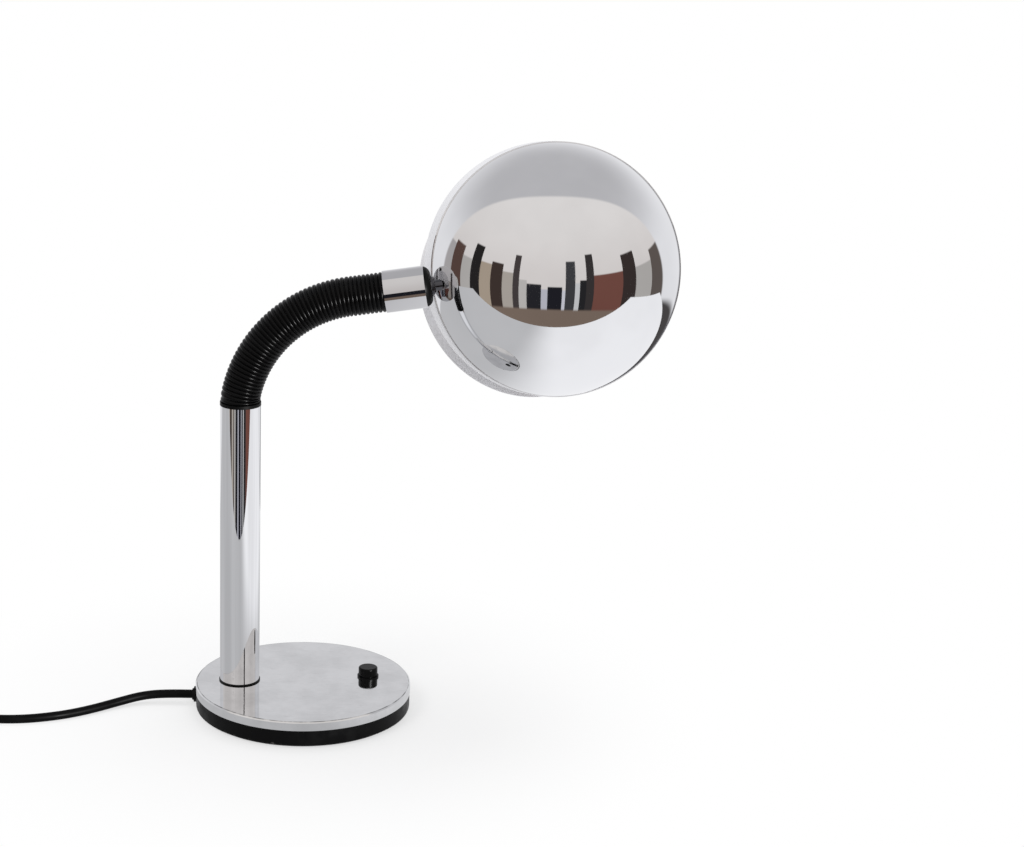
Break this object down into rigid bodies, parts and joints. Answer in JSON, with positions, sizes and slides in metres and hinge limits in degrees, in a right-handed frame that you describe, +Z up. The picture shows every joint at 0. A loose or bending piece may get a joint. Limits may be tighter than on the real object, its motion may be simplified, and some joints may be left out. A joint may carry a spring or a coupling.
{
  "type": "desk lamp",
  "caption": "Desk lamp with a round weighted base, straight tube stem, ribbed flexible neck and a ball-shaped head: a bright dome with a metal shade bowl turning inside it.",
  "frame": {"origin": "centre of the underside of the base", "axes": "+Z up, +X from the stem to the push button, +Y to the back, where the mouth of the shade faces"},
  "size_m": [0.7052, 0.3193, 0.4645],
  "materials": {
    "felt": "dense black felt",
    "black_enamel": "black enamel, worn at the lower edge",
    "chrome": "bright chrome plate with light wear",
    "dark_chrome": "dark chrome plate",
    "satin_metal": "satin grey metal",
    "iron": "rough casting",
    "steel": "zinc plated steel",
    "gasket": "black rubber",
    "neck_plastic": "black ribbed plastic with a sheen",
    "button_plastic": "glossy black plastic",
    "black_plastic": "matt black plastic",
    "brass": "rolled brass",
    "bulb_glass": "frosted glass",
    "cord_rubber": "smooth black cord sheath"
  },
  "bodies": {
    "base": {"base_pad": "felt", "base_ring": "black_enamel", "base_cover": "chrome", "base_weight": "iron", "stem_gasket": "gasket", "stem_tube": "chrome", "stem_plug": "steel", "stem_washer": "steel", "stem_nut": "steel", "switch_collar": "black_plastic", "switch_body": "black_plastic", "neck_foot_ring": "neck_plastic", "gooseneck_cover": "neck_plastic", "strain_relief": "cord_rubber", "lead_in": "cord_rubber", "cord_clamp": "black_plastic", "cord_tube": "cord_rubber", "cord_coil": "cord_rubber", "cord_tie": "black_plastic", "plug_body": "black_plastic", "plug_pins": "steel"},
    "button": {"switch_button": "button_plastic"},
    "neck_end": {"neck_sleeve": "chrome", "neck_gasket": "gasket"},
    "head": {"swivel_cap": "dark_chrome", "swivel_bolt": "steel", "swivel_nut": "steel", "swivel_boss": "dark_chrome", "head_dome": "chrome", "dome_bead": "chrome", "dome_seal": "gasket", "pivot_stud": "steel", "pivot_nut": "steel"},
    "shade": {"shade_bowl": "satin_metal", "shade_lip": "satin_metal", "holder_plate": "steel", "lamp_holder": "black_plastic", "bulb_cap": "brass", "bulb_glass": "bulb_glass"}
  },
  "joints": [
    {"name": "neck_bend", "type": "hinge", "parent": "base", "child": "neck_end", "pos_m": [-0.01898, 0, 0.31141], "axis": [0, 1, 0], "range_deg": [-25, 20], "deforming": ["gooseneck_cover"]},
    {"name": "head_roll", "type": "hinge", "parent": "neck_end", "child": "head", "pos_m": [0.06004, 0, 0.34968], "axis": [0.9871, 0, 0.1599], "range_deg": [-100, 40]},
    {"name": "shade_turn", "type": "hinge", "parent": "head", "child": "shade", "pos_m": [0.19274, 0.0515, 0.36043], "axis": [0.1665, -0.9677, 0.1894], "range_deg": [-60, 60]},
    {"name": "button_press", "type": "slide", "parent": "base", "child": "button", "axis": [0, 0, -1], "range_m": [0, 0.0025], "stiffness_N_per_m": 600, "springref_m": -0.004}
  ]
}
